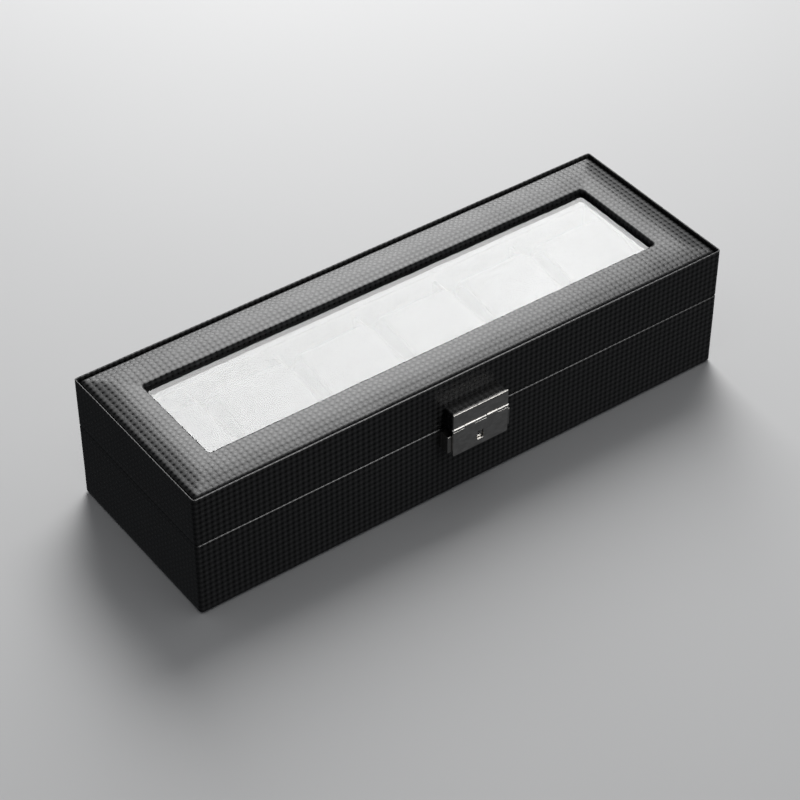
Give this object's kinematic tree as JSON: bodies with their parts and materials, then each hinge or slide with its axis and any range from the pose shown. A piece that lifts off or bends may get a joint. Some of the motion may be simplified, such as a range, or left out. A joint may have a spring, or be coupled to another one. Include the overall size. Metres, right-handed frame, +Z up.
{
  "type": "watch box",
  "caption": "Long leather-wrapped watch box with a glass window in its hinged lid, a padded window frame, divided slots with cushions and a key-locked steel hasp.",
  "frame": {"origin": "middle of the flat bottom face, on the surface that the box stands on", "axes": "+X along the box's length to the right of someone facing the lock, +Y from the front with the lock to the back with the hinges, +Z up"},
  "size_m": [0.31, 0.1159, 0.0717],
  "materials": {
    "leather": "black leather embossed with a fine square grid of raised dots, satin",
    "board": "medium density fibreboard, raw",
    "lining": "dark grey velvet on card, short pile",
    "cushion": "dark grey velvet over foam, piped seams",
    "felt": "black needled felt",
    "glass": "clear float glass, polished",
    "hasp_steel": "brushed nickel-plated steel, fine grain along the length",
    "lock_steel": "satin nickel-plated steel",
    "lock_core": "polished nickel",
    "hinge_steel": "nickel-plated steel, satin",
    "screw": "nickel-plated"
  },
  "bodies": {
    "base": {"bottom_felt": "felt", "base_wrap": "leather", "base_front_board": "board", "base_back_board": "board", "base_left_board": "board", "base_right_board": "board", "base_floor_board": "board", "base_lining": "lining", "divider_1": "lining", "divider_2": "lining", "divider_3": "lining", "divider_4": "lining", "divider_5": "lining", "hinge_base_leaf_left": "hinge_steel", "hinge_base_leaf_right": "hinge_steel", "hinge_pin_left": "hinge_steel", "hinge_pin_right": "hinge_steel", "hinge_base_screws": "screw", "lock_case": "lock_steel", "lock_back_plate": "lock_steel", "lock_case_screws": "screw"},
    "lid": {"lid_wrap": "leather", "lid_front_board": "board", "lid_back_board": "board", "lid_left_board": "board", "lid_right_board": "board", "lid_top_board": "board", "lid_pad": "leather", "glass_pane": "glass", "glass_spacer": "board", "lid_lining": "lining", "hinge_lid_leaf_left": "hinge_steel", "hinge_lid_leaf_right": "hinge_steel", "hinge_lid_screws": "screw", "latch_block": "board", "latch_block_wrap": "leather", "latch_block_screws": "screw", "hasp_leaf": "hasp_steel", "hasp_pin": "hasp_steel"},
    "flap": {"hasp_flap": "hasp_steel", "hasp_hook": "lock_steel"},
    "lock": {"lock_plug": "lock_core", "lock_cam": "lock_steel", "lock_clip": "lock_steel"},
    "pillow_1": {"cushion_1": "cushion"},
    "pillow_2": {"cushion_2": "cushion"},
    "pillow_3": {"cushion_3": "cushion"},
    "pillow_4": {"cushion_4": "cushion"},
    "pillow_5": {"cushion_5": "cushion"},
    "pillow_6": {"cushion_6": "cushion"}
  },
  "joints": [
    {"name": "lid_hinge", "type": "hinge", "parent": "base", "child": "lid", "pos_m": [0, 0.05415, 0.0431], "axis": [-1, 0, 0], "range_deg": [0, 100]},
    {"name": "hasp_hinge", "type": "hinge", "parent": "lid", "child": "flap", "pos_m": [0, -0.0587, 0.0455], "axis": [-1, 0, 0], "range_deg": [0, 120]},
    {"name": "lock_turn", "type": "hinge", "parent": "base", "child": "lock", "pos_m": [0, -0.0579, 0.0356], "axis": [0, 1, 0], "range_deg": [0, 90]},
    {"name": "pillow_1_lift", "type": "slide", "parent": "base", "child": "pillow_1", "axis": [0, 0, 1], "range_m": [0, 0.006]},
    {"name": "pillow_2_lift", "type": "slide", "parent": "base", "child": "pillow_2", "axis": [0, 0, 1], "range_m": [0, 0.006]},
    {"name": "pillow_3_lift", "type": "slide", "parent": "base", "child": "pillow_3", "axis": [0, 0, 1], "range_m": [0, 0.006]},
    {"name": "pillow_4_lift", "type": "slide", "parent": "base", "child": "pillow_4", "axis": [0, 0, 1], "range_m": [0, 0.006]},
    {"name": "pillow_5_lift", "type": "slide", "parent": "base", "child": "pillow_5", "axis": [0, 0, 1], "range_m": [0, 0.006]},
    {"name": "pillow_6_lift", "type": "slide", "parent": "base", "child": "pillow_6", "axis": [0, 0, 1], "range_m": [0, 0.006]}
  ]
}
